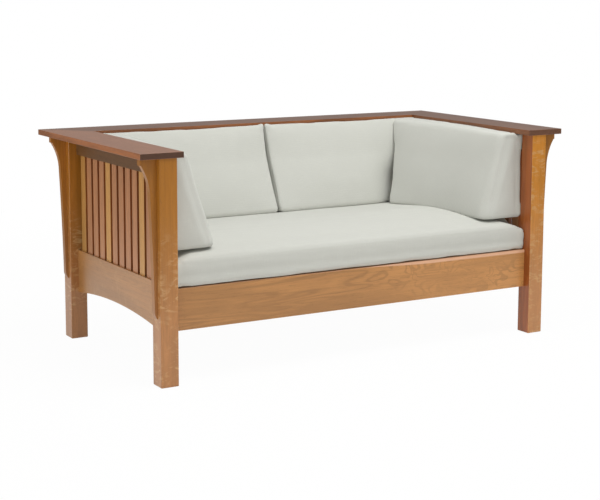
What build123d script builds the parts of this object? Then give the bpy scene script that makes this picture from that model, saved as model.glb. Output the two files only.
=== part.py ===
from build123d import *
from collections import namedtuple
from math import cos, pi, radians, sin, sqrt
import os

# Mission settle in oak: square posts, flat mitred cap boards, slatted sides and back, corbels,
# a drop-in seat deck and five loose cushions. Millimetres. X runs to the right seen from the
# front, Y to the back and Z up. The origin is on the floor, under the middle of the cap boards.

os.makedirs("parts", exist_ok=True)

# Overall size, over the cap boards: 64 3/4 by 34 by 29 inches
overall_width = 1644.65
overall_depth = 863.6
overall_height = 736.6

# Cap boards, their overhang past the posts, and the loose splines across the mitres
cap_width = 146.05
cap_thick = 19.05
cap_ease = 1.6
cap_side_overhang = 65.09
cap_front_overhang = 4.76
cap_back_overhang = 58.74
spline_length = 120.0
spline_width = 25.4
spline_thick = 4.0

# Posts
post_size = 60.325
post_ease = 1.6

# Rails: heights, bottoms and how far each stands back from the posts' outer faces
rail_thick = 25.4
front_rail_height = 133.35
front_rail_bottom = 168.3
lower_rail_height = 152.4
lower_rail_bottom = 165.1
upper_rail_height = 63.5
long_setback = 31.75
side_setback = 28.58
arch_rise = 26.5

# Mitred tenons on the rails, nearer to the outer face so that they reach further
tenon_thick = 9.5
tenon_inset = 3.2
tenon_shoulder = 12.7
mitre_gap = 0.8

# Vertical slats, how many fill a side and the back, and the gap between the last one and its post
slat_width = 38.1
slat_thick = 12.7
side_slat_count = 12
back_slat_count = 25
slat_end_gap = 23.79
slat_tenon_length = 12.7
slat_tenon_thick = 8.0
slat_shoulder = 3.2

# Corbels under the side caps
corbel_thick = 19.05
corbel_height = 503.2
corbel_nib_height = 20.0
corbel_nib_step = 3.6
corbel_setback = 9.53

# The corbel's curve: how far out from the post, and how far down, as shares of reach and height
corbel_bow_share = (0.576, 0.121)
corbel_neck_share = (0.410, 0.210)
corbel_waist_share = (0.281, 0.552)
corbel_tail_share = (0.189, 0.949)
corbel_round_share = (0.140, 0.977)

# Corbel dowels, with the drop of each below the cap as a share of the corbel's height
dowel_diameter = 6.35
dowel_length = 22.0
dowel_drop_shares = (0.028, 0.170)

# Screws and dowels, the holes for them, and each corner of a cushion have this many flat sides
round_sides = 12
corner_sides = 4

# Wood screws: through the cleats into the rails, and up through the upper rails into the caps
screw_diameter = 4.2
screw_length = 38.1
screw_head_diameter = 8.4
screw_head_height = 3.2
screw_bite = 12.7
counterbore_diameter = 10.0
side_cap_screw_shares = (1 / 6, 1 / 2, 5 / 6)
back_cap_screw_shares = (0.08, 0.36, 0.64, 0.92)
long_cleat_screw_shares = (-0.9, -0.3, 0.3, 0.9)
side_cleat_screw_shares = (-0.8, 0.0, 0.8)

# Seat cleats and the drop-in seat deck
cleat_size = 19.05
deck_thick = 19.05
deck_long_width = 63.5
deck_end_width = 50.8
deck_slat_width = 63.5
deck_slat_thick = 12.7
deck_slat_gap = 44.45
deck_rabbet = 19.05

# Cushions
seat_cushion_thick = 112.0
seat_crown_run = 140.0
seat_end_gap = 2.0
seat_back_gap = 4.0
cushion_top_gap = 2.4
cushion_edge = 12.0
cushion_corner = 14.0
cushion_pull = 4.0
front_pull = 1.0
heel_share = 0.3
back_base_depth = 169.0
back_top_depth = 31.0
back_crown = 14.0
back_middle_gap = 3.0
arm_base_depth = 164.0
arm_top_depth = 66.0
arm_crown = 10.0
arm_front_gap = 4.7

# The seat cushion's rounded sides: height, and draw-in of the long sides and the ends, as shares
seat_level_shares = (0.0, 0.04, 0.16, 0.45, 0.70, 0.82, 0.91, 0.97, 1.0)
seat_inset_shares = (0.42, 0.20, 0.02, 0.0, 0.03, 0.10, 0.27, 0.58, 1.0)
seat_end_shares = (0.42, 0.20, 0.02, 0.0, 0.17, 0.37, 0.53, 0.72, 1.0)

# Levels of a wedge cushion: within each rounded edge, as shares of the edge, and between them
edge_level_shares = (0.0, 0.25, 1.0)
body_level_shares = (0.3, 0.7)

# Clearances
joint_clearance = 0.1
end_clearance = 0.8
deck_clearance = 1.6
cleat_clearance = 1.0
soft_clearance = 0.3
overrun = 5.0

# The frame of posts, worked out from the overall size
post_height = overall_height - cap_thick
post_outer_x = overall_width / 2 - cap_side_overhang
post_front_y = -overall_depth / 2 + cap_front_overhang
post_back_y = overall_depth / 2 - cap_back_overhang
post_x = post_outer_x - post_size / 2
front_post_y = post_front_y + post_size / 2
back_post_y = post_back_y - post_size / 2
frame_middle_y = (post_front_y + post_back_y) / 2
half_frame_depth = (post_back_y - post_front_y) / 2
corbel_reach = cap_side_overhang - corbel_setback

# A face of the frame, drawn as if seen from outside: its plane lies on the floor with local x
# along the face and local -y outwards. half_span is half the distance between its two posts.
Face = namedtuple("Face", "plane half_span outer")


def face(x_dir, half_span, outer):
    return Face(Plane(origin=(0, frame_middle_y, 0), x_dir=x_dir, z_dir=(0, 0, 1)), half_span, outer)


long_span = post_outer_x - post_size
side_span = half_frame_depth - post_size
front_face = face((1, 0, 0), long_span, half_frame_depth)
right_face = face((0, 1, 0), side_span, post_outer_x)
back_face = face((-1, 0, 0), long_span, half_frame_depth)

# A rail: its face, the outer surface's distance from the middle, and its bottom and height.
# The tenons run on a centre line and are mitred where that line meets the next rail's.
Rail = namedtuple("Rail", "face outer line corner bottom height")
long_outer = half_frame_depth - long_setback
side_outer = post_outer_x - side_setback
long_line = long_outer - tenon_inset - tenon_thick / 2
side_line = side_outer - tenon_inset - tenon_thick / 2
upper_rail_bottom = post_height - upper_rail_height
front_rail_top = front_rail_bottom + front_rail_height
lower_rail_top = lower_rail_bottom + lower_rail_height
front_rail = Rail(front_face, long_outer, long_line, side_line, front_rail_bottom, front_rail_height)
side_lower = Rail(right_face, side_outer, side_line, long_line, lower_rail_bottom, lower_rail_height)
side_upper = Rail(right_face, side_outer, side_line, long_line, upper_rail_bottom, upper_rail_height)
back_lower = Rail(back_face, long_outer, long_line, side_line, lower_rail_bottom, lower_rail_height)
back_upper = Rail(back_face, long_outer, long_line, side_line, upper_rail_bottom, upper_rail_height)

# Slats: spaced evenly between the posts, in the middle of the rails
slat_length = upper_rail_bottom - lower_rail_top


def slat_places(half_span, count):
    last = half_span - slat_end_gap - slat_width / 2
    return [last * (2 * number / (count - 1) - 1) for number in range(count)]


def gap_places(places, shares):
    pitch = places[1] - places[0]
    return [places[0] + (round(share * len(places)) - 1 / 2) * pitch for share in shares]


side_slat_places = slat_places(side_span, side_slat_count)
back_slat_places = slat_places(long_span, back_slat_count)
side_cap_screws = gap_places(side_slat_places, side_cap_screw_shares)
back_cap_screws = gap_places(back_slat_places, back_cap_screw_shares)


def finish(piece, name):
    piece.part.label = name
    export_step(piece.part, f"parts/{name}.step")


def mirrored(piece):
    with BuildPart() as other:
        mirror(piece.part, about=Plane.YZ)
    return other


def elevation(at, depth, height):
    """A plane that stands on a face of the frame, seen from outside, with local y upwards."""
    origin = at.plane.from_local_coords(Vector(0, -depth, height))
    return Plane(origin=origin, x_dir=at.plane.x_dir, z_dir=-at.plane.y_dir)


# Rails with a mitred tenon at each end
def add_tenons(rail):
    outer_cheek = -rail.line - tenon_thick / 2
    inner_cheek = -rail.line + tenon_thick / 2
    root = rail.face.half_span - tenon_thick
    tip = rail.corner - mitre_gap
    for end in (-1, 1):
        with BuildSketch(rail.face.plane.offset(rail.bottom + tenon_shoulder)) as profile:
            with BuildLine() as edge:
                Polyline(
                    (end * root, outer_cheek),
                    (end * (tip + tenon_thick / 2), outer_cheek),
                    (end * (tip - tenon_thick / 2), inner_cheek),
                    (end * root, inner_cheek),
                    close=True,
                )
            make_face(edge.edges())
        extrude(profile.sketch, amount=rail.height - 2 * tenon_shoulder)


def add_rail_body(rail, rise=0.0):
    half = rail.face.half_span
    with BuildSketch(elevation(rail.face, rail.outer, rail.bottom)) as profile:
        with BuildLine() as edge:
            if rise:
                ThreePointArc((-half, 0), (0, rise), (half, 0))
            else:
                Line((-half, 0), (half, 0))
            Polyline((half, 0), (half, rail.height), (-half, rail.height), (-half, 0))
        make_face(edge.edges())
    extrude(profile.sketch, amount=-rail_thick)


def cut_slat_mortises(rail, places, opening_height, direction):
    with BuildSketch(rail.face.plane.offset(opening_height)) as profile:
        with Locations(*[(place, -rail.outer + rail_thick / 2) for place in places]):
            Rectangle(
                slat_width - 2 * slat_shoulder + 2 * joint_clearance,
                slat_tenon_thick + 2 * joint_clearance,
            )
    extrude(profile.sketch, amount=direction * (slat_tenon_length + end_clearance), mode=Mode.SUBTRACT)


def cut_cap_screw_holes(rail, places):
    middles = [(place, -rail.outer + rail_thick / 2) for place in places]
    with BuildSketch(rail.face.plane.offset(rail.bottom)) as profile:
        with Locations(*middles):
            RegularPolygon(screw_diameter / 2 + joint_clearance, round_sides)
    extrude(profile.sketch, amount=rail.height, mode=Mode.SUBTRACT)
    with BuildSketch(rail.face.plane.offset(rail.bottom)) as profile:
        with Locations(*middles):
            RegularPolygon(counterbore_diameter / 2, round_sides)
    extrude(profile.sketch, amount=cap_screw_seat - rail.bottom, mode=Mode.SUBTRACT)


def cut_cleat_screw_holes(rail, places):
    """Pilot holes in the rail's inner face, for the screws that hold its cleat."""
    with BuildSketch(elevation(rail.face, rail.outer - rail_thick, cleat_middle)) as profile:
        with Locations(*[(place, 0) for place in places]):
            RegularPolygon(screw_diameter / 2 + joint_clearance, round_sides)
    extrude(profile.sketch, amount=screw_length - cleat_size + end_clearance, mode=Mode.SUBTRACT)


# A cap screw's head bears at cap_screw_seat, and its point ends screw_bite above the posts
cap_screw_seat = post_height + screw_bite - screw_length
deck_bottom = front_rail_top - deck_thick
cleat_middle = deck_bottom - cleat_size / 2
long_cleat_half = side_outer - rail_thick - cleat_size - cleat_clearance
side_cleat_half = side_span - cleat_clearance
long_cleat_screws = [share * long_cleat_half for share in long_cleat_screw_shares]
side_cleat_screws = [share * side_cleat_half for share in side_cleat_screw_shares]

with BuildPart() as front_seat_rail:
    add_rail_body(front_rail)
    add_tenons(front_rail)
    cut_cleat_screw_holes(front_rail, long_cleat_screws)
finish(front_seat_rail, "front_seat_rail")

with BuildPart() as right_lower_side_rail:
    add_rail_body(side_lower, arch_rise)
    add_tenons(side_lower)
    cut_slat_mortises(side_lower, side_slat_places, lower_rail_top, -1)
    cut_cleat_screw_holes(side_lower, side_cleat_screws)
finish(right_lower_side_rail, "right_lower_side_rail")
finish(mirrored(right_lower_side_rail), "left_lower_side_rail")

with BuildPart() as right_upper_side_rail:
    add_rail_body(side_upper)
    add_tenons(side_upper)
    cut_slat_mortises(side_upper, side_slat_places, upper_rail_bottom, 1)
    cut_cap_screw_holes(side_upper, side_cap_screws)
finish(right_upper_side_rail, "right_upper_side_rail")
finish(mirrored(right_upper_side_rail), "left_upper_side_rail")

with BuildPart() as back_lower_rail:
    add_rail_body(back_lower)
    add_tenons(back_lower)
    cut_slat_mortises(back_lower, back_slat_places, lower_rail_top, -1)
    cut_cleat_screw_holes(back_lower, long_cleat_screws)
finish(back_lower_rail, "back_lower_rail")

with BuildPart() as back_upper_rail:
    add_rail_body(back_upper)
    add_tenons(back_upper)
    cut_slat_mortises(back_upper, back_slat_places, upper_rail_bottom, 1)
    cut_cap_screw_holes(back_upper, back_cap_screws)
finish(back_upper_rail, "back_upper_rail")


# Slats: a plain board with a shouldered tenon at each end
def slats(rail, places):
    middles = [(place, -rail.outer + rail_thick / 2) for place in places]
    with BuildPart() as group:
        with BuildSketch(rail.face.plane.offset(lower_rail_top)) as profile:
            with Locations(*middles):
                Rectangle(slat_width, slat_thick)
        extrude(profile.sketch, amount=slat_length)
        with BuildSketch(rail.face.plane.offset(lower_rail_top - slat_tenon_length)) as profile:
            with Locations(*middles):
                Rectangle(slat_width - 2 * slat_shoulder, slat_tenon_thick)
        extrude(profile.sketch, amount=slat_length + 2 * slat_tenon_length)
    return group


for number, place in enumerate(side_slat_places, start=1):
    slat = slats(side_lower, [place])
    finish(slat, f"right_slat_{number:02d}")
    finish(mirrored(slat), f"left_slat_{number:02d}")

finish(slats(back_lower, back_slat_places), "back_slats")


# Posts, mortised for the rails and bored for the corbel dowels
def cut_rail_mortise(rail, end):
    inner = rail.face.half_span - overrun
    outer = rail.corner + tenon_thick / 2 + end_clearance
    with BuildSketch(rail.face.plane.offset(rail.bottom + tenon_shoulder - joint_clearance)) as profile:
        with Locations((end * (inner + outer) / 2, -rail.line)):
            Rectangle(outer - inner, tenon_thick + 2 * joint_clearance)
    depth = rail.height - 2 * tenon_shoulder + 2 * joint_clearance
    extrude(profile.sketch, amount=depth, mode=Mode.SUBTRACT)


def dowel_plane(middle_y):
    """The outer face of a right-hand post, with local y measured down from the cap."""
    return Plane(origin=(post_outer_x, middle_y, post_height), x_dir=(0, -1, 0), z_dir=(1, 0, 0))


def cut_dowel_holes(middle_y, direction):
    with BuildSketch(dowel_plane(middle_y)) as profile:
        with Locations(*[(0, share * corbel_height) for share in dowel_drop_shares]):
            RegularPolygon(dowel_diameter / 2 + joint_clearance, round_sides)
    extrude(profile.sketch, amount=direction * (dowel_length / 2 + end_clearance), mode=Mode.SUBTRACT)


def post(middle_y, joints):
    with BuildPart() as piece:
        with BuildSketch() as profile:
            with Locations((post_x, middle_y)):
                Rectangle(post_size, post_size)
        extrude(profile.sketch, amount=post_height)
        long_edges = piece.edges().filter_by(Axis.Z)
        chamfer(long_edges + piece.faces().sort_by(Axis.Z)[0].edges(), post_ease)
        for rail, end in joints:
            cut_rail_mortise(rail, end)
        cut_dowel_holes(middle_y, -1)
    return piece


right_front_post = post(front_post_y, [(front_rail, 1), (side_lower, -1), (side_upper, -1)])
right_back_post = post(
    back_post_y, [(side_lower, 1), (side_upper, 1), (back_lower, -1), (back_upper, -1)]
)
finish(right_front_post, "right_front_post")
finish(right_back_post, "right_back_post")
finish(mirrored(right_front_post), "left_front_post")
finish(mirrored(right_back_post), "left_back_post")


# Corbels: a square nib under the cap, a hollow sweep to a slim neck and a long taper
def corbel_point(share):
    out_share, drop_share = share
    return (out_share * corbel_reach, -drop_share * corbel_height)


def corbel(middle_y):
    side_plane = Plane(origin=(post_outer_x, middle_y, post_height), x_dir=(1, 0, 0), z_dir=(0, -1, 0))
    nib_corner = (corbel_reach, -corbel_nib_height)
    sweep_start = (corbel_reach - corbel_nib_step, -corbel_nib_height)
    with BuildPart() as piece:
        with BuildSketch(side_plane) as profile:
            with BuildLine() as edge:
                Polyline((0, -corbel_height), (0, 0), (corbel_reach, 0), nib_corner, sweep_start)
                ThreePointArc(sweep_start, corbel_point(corbel_bow_share), corbel_point(corbel_neck_share))
                ThreePointArc(
                    corbel_point(corbel_neck_share),
                    corbel_point(corbel_waist_share),
                    corbel_point(corbel_tail_share),
                )
                ThreePointArc(
                    corbel_point(corbel_tail_share),
                    corbel_point(corbel_round_share),
                    (0, -corbel_height),
                )
            make_face(edge.edges())
        extrude(profile.sketch, amount=corbel_thick / 2, both=True)
        cut_dowel_holes(middle_y, 1)
    return piece


right_front_corbel = corbel(front_post_y)
right_back_corbel = corbel(back_post_y)
finish(right_front_corbel, "right_front_corbel")
finish(right_back_corbel, "right_back_corbel")
finish(mirrored(right_front_corbel), "left_front_corbel")
finish(mirrored(right_back_corbel), "left_back_corbel")

with BuildPart() as right_dowels:
    for middle_y in (front_post_y, back_post_y):
        with BuildSketch(dowel_plane(middle_y)):
            with Locations(*[(0, share * corbel_height) for share in dowel_drop_shares]):
                RegularPolygon(dowel_diameter / 2, round_sides)
        extrude(amount=dowel_length / 2, both=True)

with BuildPart() as corbel_dowels:
    add(right_dowels.part)
    mirror(about=Plane.YZ)
finish(corbel_dowels, "corbel_dowels")

# Cap boards, mitred at the back corners, with a slot in each mitre for its spline
cap_outer_x = overall_width / 2
cap_inner_x = cap_outer_x - cap_width
cap_end_y = overall_depth / 2
cap_inner_y = cap_end_y - cap_width
mitre_middle = (cap_outer_x - cap_width / 2, cap_end_y - cap_width / 2)
spline_bottom = post_height + (cap_thick - spline_thick) / 2


def mitre_block(length, width, thick, bottom):
    """A flat block that lies along the right-hand mitre."""
    plane = Plane(origin=(*mitre_middle, bottom), x_dir=(1, 1, 0), z_dir=(0, 0, 1))
    with BuildSketch(plane) as profile:
        Rectangle(length, width)
    return extrude(profile.sketch, amount=thick, mode=Mode.PRIVATE)


def spline_slot():
    return mitre_block(
        spline_length + 2 * end_clearance,
        spline_width + 2 * end_clearance,
        spline_thick + 2 * joint_clearance,
        spline_bottom - joint_clearance,
    )


def cut_cap_pilots(rail, places):
    with BuildSketch(rail.face.plane.offset(post_height)) as profile:
        with Locations(*[(place, -rail.outer + rail_thick / 2) for place in places]):
            RegularPolygon(screw_diameter / 2 + joint_clearance, round_sides)
    extrude(profile.sketch, amount=screw_bite + end_clearance, mode=Mode.SUBTRACT)


with BuildPart() as right_arm_cap:
    with BuildSketch(Plane.XY.offset(post_height)):
        with BuildLine():
            Polyline(
                (cap_inner_x, -cap_end_y),
                (cap_outer_x, -cap_end_y),
                (cap_outer_x, cap_end_y),
                (cap_inner_x, cap_inner_y),
                close=True,
            )
        make_face()
    extrude(amount=cap_thick)
    fillet(right_arm_cap.edges().filter_by(Axis.Y) + right_arm_cap.edges().filter_by(Axis.X), cap_ease)
    add(spline_slot(), mode=Mode.SUBTRACT)
    cut_cap_pilots(side_upper, side_cap_screws)
finish(right_arm_cap, "right_arm_cap")
finish(mirrored(right_arm_cap), "left_arm_cap")

with BuildPart() as back_cap:
    with BuildSketch(Plane.XY.offset(post_height)):
        with BuildLine():
            Polyline(
                (-cap_outer_x, cap_end_y),
                (cap_outer_x, cap_end_y),
                (cap_inner_x, cap_inner_y),
                (-cap_inner_x, cap_inner_y),
                close=True,
            )
        make_face()
    extrude(amount=cap_thick)
    fillet(back_cap.edges().filter_by(Axis.X), cap_ease)
    right_slot = spline_slot()
    add(right_slot, mode=Mode.SUBTRACT)
    add(right_slot.mirror(Plane.YZ), mode=Mode.SUBTRACT)
    cut_cap_pilots(back_upper, back_cap_screws)
finish(back_cap, "back_cap")

with BuildPart() as cap_splines:
    add(mitre_block(spline_length, spline_width, spline_thick, spline_bottom))
    mirror(about=Plane.YZ)
finish(cap_splines, "cap_splines")


# Cleats screwed inside the seat rails, under the deck
def cleat(rail, half_length, screws):
    inner_face = rail.outer - rail_thick
    with BuildPart() as piece:
        with BuildSketch(elevation(rail.face, inner_face, cleat_middle)) as profile:
            Rectangle(2 * half_length, cleat_size)
        extrude(profile.sketch, amount=-cleat_size)
        with BuildSketch(elevation(rail.face, inner_face, cleat_middle)) as profile:
            with Locations(*[(place, 0) for place in screws]):
                RegularPolygon(screw_diameter / 2 + joint_clearance, round_sides)
        extrude(profile.sketch, amount=-cleat_size, mode=Mode.SUBTRACT)
    return piece


finish(cleat(front_rail, long_cleat_half, long_cleat_screws), "front_cleat")
finish(cleat(back_lower, long_cleat_half, long_cleat_screws), "back_cleat")
right_cleat = cleat(side_lower, side_cleat_half, side_cleat_screws)
finish(right_cleat, "right_cleat")
finish(mirrored(right_cleat), "left_cleat")


# Screws: a plain shank and a pan head, which stands on the surface that it clamps
def screws_at(plane, places):
    """Screws with their heads on the plane, pointing along its normal."""
    with BuildSketch(plane) as profile:
        with Locations(*places):
            RegularPolygon(screw_diameter / 2, round_sides)
    extrude(profile.sketch, amount=screw_length)
    with BuildSketch(plane) as profile:
        with Locations(*places):
            RegularPolygon(screw_head_diameter / 2, round_sides)
    extrude(profile.sketch, amount=-screw_head_height)


def cap_screws_in(rail, places):
    middles = [(place, -rail.outer + rail_thick / 2) for place in places]
    screws_at(rail.face.plane.offset(cap_screw_seat), middles)


def cleat_screws_in(rail, places):
    cleat_face = rail.outer - rail_thick - cleat_size
    screws_at(elevation(rail.face, cleat_face, cleat_middle), [(place, 0) for place in places])


with BuildPart() as right_screws:
    cap_screws_in(side_upper, side_cap_screws)
    cleat_screws_in(side_lower, side_cleat_screws)

with BuildPart() as wood_screws:
    add(right_screws.part)
    mirror(about=Plane.YZ)
    cap_screws_in(back_upper, back_cap_screws)
    cleat_screws_in(front_rail, long_cleat_screws)
    cleat_screws_in(back_lower, long_cleat_screws)
finish(wood_screws, "wood_screws")

# Seat deck: long rails and end rails halved together, with slats let into a rabbet
deck_half_width = long_span - deck_clearance
deck_front_y = frame_middle_y - (long_outer - rail_thick - deck_clearance)
deck_back_y = frame_middle_y + (long_outer - rail_thick - deck_clearance)
deck_inner_half = deck_half_width - deck_end_width


def deck_long_rail(outer_y, inwards):
    middle_y = outer_y + inwards * deck_long_width / 2
    rabbet_y = outer_y + inwards * (deck_long_width - deck_rabbet / 2)
    with BuildPart() as piece:
        with BuildSketch(Plane.XY.offset(deck_bottom)) as profile:
            with Locations((0, middle_y)):
                Rectangle(2 * deck_half_width, deck_long_width)
        extrude(profile.sketch, amount=deck_thick)
        with BuildSketch(Plane.XY.offset(deck_bottom + deck_thick / 2)) as profile:
            with Locations((-deck_half_width + deck_end_width / 2, middle_y)):
                Rectangle(deck_end_width, deck_long_width)
            with Locations((deck_half_width - deck_end_width / 2, middle_y)):
                Rectangle(deck_end_width, deck_long_width)
        extrude(profile.sketch, amount=deck_thick / 2, mode=Mode.SUBTRACT)
        with BuildSketch(Plane.XY.offset(front_rail_top - deck_slat_thick)) as profile:
            with Locations((0, rabbet_y)):
                Rectangle(2 * deck_inner_half, deck_rabbet)
        extrude(profile.sketch, amount=deck_slat_thick, mode=Mode.SUBTRACT)
    return piece


finish(deck_long_rail(deck_front_y, 1), "deck_front_rail")
finish(deck_long_rail(deck_back_y, -1), "deck_back_rail")

with BuildPart() as right_deck_end:
    end_x = deck_half_width - deck_end_width / 2
    with BuildSketch(Plane.XY.offset(deck_bottom + deck_thick / 2)):
        with Locations((end_x, frame_middle_y)):
            Rectangle(deck_end_width, deck_back_y - deck_front_y)
    extrude(amount=deck_thick / 2)
    with BuildSketch(Plane.XY.offset(deck_bottom)):
        with Locations((end_x, frame_middle_y)):
            Rectangle(deck_end_width, deck_back_y - deck_front_y - 2 * deck_long_width)
    extrude(amount=deck_thick)
finish(right_deck_end, "right_deck_end")
finish(mirrored(right_deck_end), "left_deck_end")

deck_slat_pitch = deck_slat_width + deck_slat_gap
deck_slat_count = int((2 * deck_inner_half - deck_slat_gap) // deck_slat_pitch)
deck_slat_length = deck_back_y - deck_front_y - 2 * (deck_long_width - deck_rabbet) - 2 * joint_clearance

with BuildPart() as deck_slats:
    with BuildSketch(Plane.XY.offset(front_rail_top - deck_slat_thick)):
        with Locations((0, frame_middle_y)):
            with GridLocations(deck_slat_pitch, 0, deck_slat_count, 1):
                Rectangle(deck_slat_width, deck_slat_length)
    extrude(amount=deck_slat_thick)
finish(deck_slats, "deck_slats")


# A cushion's corner: a quarter turn in flat sides, from the start angle in degrees
def corner_points(middle_x, middle_y, radius, start):
    angles = [radians(start + 90 * side / corner_sides) for side in range(corner_sides + 1)]
    return [(middle_x + radius * cos(angle), middle_y + radius * sin(angle)) for angle in angles]


# Seat cushion: lofted up through level outlines of four drawn-in sides and four round corners
def seat_outline(half_width, front_y, back_y):
    middle_y = (front_y + back_y) / 2
    side_x = half_width - cushion_corner
    low_y = front_y + cushion_corner
    high_y = back_y - cushion_corner
    with BuildLine() as edge:
        ThreePointArc((-side_x, front_y), (0, front_y + front_pull), (side_x, front_y))
        Polyline(*corner_points(side_x, low_y, cushion_corner, -90))
        ThreePointArc((half_width, low_y), (half_width - cushion_pull, middle_y), (half_width, high_y))
        Polyline(*corner_points(side_x, high_y, cushion_corner, 0))
        ThreePointArc((side_x, back_y), (0, back_y - cushion_pull), (-side_x, back_y))
        Polyline(*corner_points(-side_x, high_y, cushion_corner, 90))
        ThreePointArc((-half_width, high_y), (-half_width + cushion_pull, middle_y), (-half_width, low_y))
        Polyline(*corner_points(-side_x, low_y, cushion_corner, 180))
    make_face(edge.edges())


seat_base = front_rail_top + soft_clearance
seat_top = seat_base + seat_cushion_thick
seat_half = long_span - seat_end_gap
seat_front_y = frame_middle_y - long_outer
seat_back_y = frame_middle_y + long_outer - rail_thick - seat_back_gap

with BuildPart() as seat_cushion:
    for level_share, inset_share, end_share in zip(seat_level_shares, seat_inset_shares, seat_end_shares):
        inset = inset_share * seat_crown_run
        half_width = seat_half - end_share * seat_crown_run
        with BuildSketch(Plane.XY.offset(seat_base + level_share * seat_cushion_thick)):
            seat_outline(half_width, seat_front_y + inset, seat_back_y - inset)
    loft(ruled=True)
finish(seat_cushion, "seat_cushion")

# Wedge cushions stand on the seat cushion and lean on the slats, thick below and thin above
wedge_base = seat_top + soft_clearance
wedge_top = post_height - cushion_top_gap
wedge_height = wedge_top - wedge_base
edge_levels = [share * cushion_edge for share in edge_level_shares]
body_levels = [share * wedge_height for share in body_level_shares]
wedge_levels = edge_levels + body_levels + [wedge_height - level for level in reversed(edge_levels)]


def wedge_outline(x_low, x_high, face_y, heel_y, crown):
    """One level of a wedge cushion. Its face looks along -y and its flat heel is at heel_y."""
    corner = min(cushion_corner, (heel_y - face_y) / 3)
    heel = corner * heel_share
    with BuildLine() as edge:
        middle = ((x_low + x_high) / 2, face_y - crown)
        ThreePointArc((x_low + corner, face_y), middle, (x_high - corner, face_y))
        Polyline(
            *corner_points(x_high - corner, face_y + corner, corner, -90),
            (x_high, heel_y - heel),
            (x_high - heel, heel_y),
            (x_low + heel, heel_y),
            (x_low, heel_y - heel),
            *corner_points(x_low + corner, face_y + corner, corner, 180),
        )
    make_face(edge.edges())


def rounding(level):
    """How far the cushion's rounded edge draws in at a level above its base."""
    from_end = min(level, wedge_height - level, cushion_edge)
    return cushion_edge - sqrt(cushion_edge**2 - (cushion_edge - from_end) ** 2)


def swell(level, crown):
    """The crown at mid height, and the seam drawn in at the top and bottom."""
    return (crown + cushion_pull) * sin(pi * level / wedge_height) - cushion_pull


def draw_in(level):
    """How far each end is drawn in, most at mid height."""
    return rounding(level) + cushion_pull * sin(pi * level / wedge_height)


def wedge_depth(level, base_depth, top_depth):
    return base_depth + (top_depth - base_depth) * level / wedge_height


wedge_back_y = frame_middle_y + long_outer - rail_thick - soft_clearance
wedge_side_x = side_outer - rail_thick - soft_clearance

with BuildPart() as right_back_cushion:
    for level in wedge_levels:
        depth = wedge_depth(level, back_base_depth, back_top_depth) - rounding(level)
        with BuildSketch(Plane.XY.offset(wedge_base + level)):
            wedge_outline(
                back_middle_gap / 2 + draw_in(level),
                seat_half - draw_in(level),
                wedge_back_y - depth,
                wedge_back_y,
                swell(level, back_crown),
            )
    loft(ruled=True)
finish(right_back_cushion, "right_back_cushion")
finish(mirrored(right_back_cushion), "left_back_cushion")

# The arm cushion's outlines are drawn with local x towards the front and local y outwards
arm_front_y = front_post_y + post_size / 2 + arm_front_gap

with BuildPart() as right_arm_cushion:
    for level in wedge_levels:
        depth = wedge_depth(level, arm_base_depth, arm_top_depth) - rounding(level)
        back_depth = wedge_depth(level, back_base_depth, back_top_depth)
        arm_back_y = wedge_back_y - back_depth - max(swell(level, back_crown), 0.0) - soft_clearance
        with BuildSketch(Plane(origin=(0, 0, wedge_base + level), x_dir=(0, -1, 0), z_dir=(0, 0, 1))):
            wedge_outline(
                -arm_back_y + draw_in(level),
                -arm_front_y - draw_in(level),
                wedge_side_x - depth,
                wedge_side_x,
                swell(level, arm_crown),
            )
    loft(ruled=True)
finish(right_arm_cushion, "right_arm_cushion")
finish(mirrored(right_arm_cushion), "left_arm_cushion")
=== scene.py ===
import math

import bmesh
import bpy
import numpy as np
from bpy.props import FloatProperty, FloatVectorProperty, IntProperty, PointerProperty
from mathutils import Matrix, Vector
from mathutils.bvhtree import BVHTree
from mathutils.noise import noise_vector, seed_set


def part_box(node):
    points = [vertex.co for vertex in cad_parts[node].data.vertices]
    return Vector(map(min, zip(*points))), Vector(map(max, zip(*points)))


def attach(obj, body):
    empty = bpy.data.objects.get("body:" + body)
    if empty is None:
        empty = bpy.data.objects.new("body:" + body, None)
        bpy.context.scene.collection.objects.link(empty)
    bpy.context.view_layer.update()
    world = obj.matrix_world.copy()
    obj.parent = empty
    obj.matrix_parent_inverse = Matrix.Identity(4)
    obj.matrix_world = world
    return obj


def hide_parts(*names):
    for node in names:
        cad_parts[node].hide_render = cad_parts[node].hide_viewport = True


bl_info = {
    "name": "Mission Settle",
    "version": (1, 0, 0),
    "blender": (4, 5, 0),
    "location": "View3D > Sidebar > Settle",
    "description": "Finishes an oak mission settle and fills it with five loose linen cushions",
    "category": "Add Mesh",
}

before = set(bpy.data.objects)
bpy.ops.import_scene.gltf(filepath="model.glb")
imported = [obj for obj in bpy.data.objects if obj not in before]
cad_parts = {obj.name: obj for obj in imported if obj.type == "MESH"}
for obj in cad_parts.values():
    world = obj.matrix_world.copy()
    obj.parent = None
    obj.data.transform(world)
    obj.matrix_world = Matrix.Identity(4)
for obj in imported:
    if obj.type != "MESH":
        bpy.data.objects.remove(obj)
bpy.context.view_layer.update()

MM = 0.001
SIDES = ("left", "right")
# How far above its base, and in front of its heel, a cushion is held while it is filled
HELD_BASE, HELD_HEEL = 30 * MM, 20 * MM
# Height of the hollows and swells that foam keeps
HOLLOWS = 1.6 * MM
# How far a back or arm cushion may stand above its solid
TOP_ROOM = 22 * MM


def linear(hex_colour):
    """An sRGB colour such as #A06030 as the linear RGB that shaders use."""
    shares = [int(hex_colour[place:place + 2], 16) / 255 for place in (1, 3, 5)]
    return tuple(s / 12.92 if s <= 0.04045 else ((s + 0.055) / 1.055) ** 2.4 for s in shares)


def colour(name, description, default):
    return FloatVectorProperty(
        name=name, description=description, subtype="COLOR", size=3, min=0, max=1,
        default=linear(default),
    )


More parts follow.
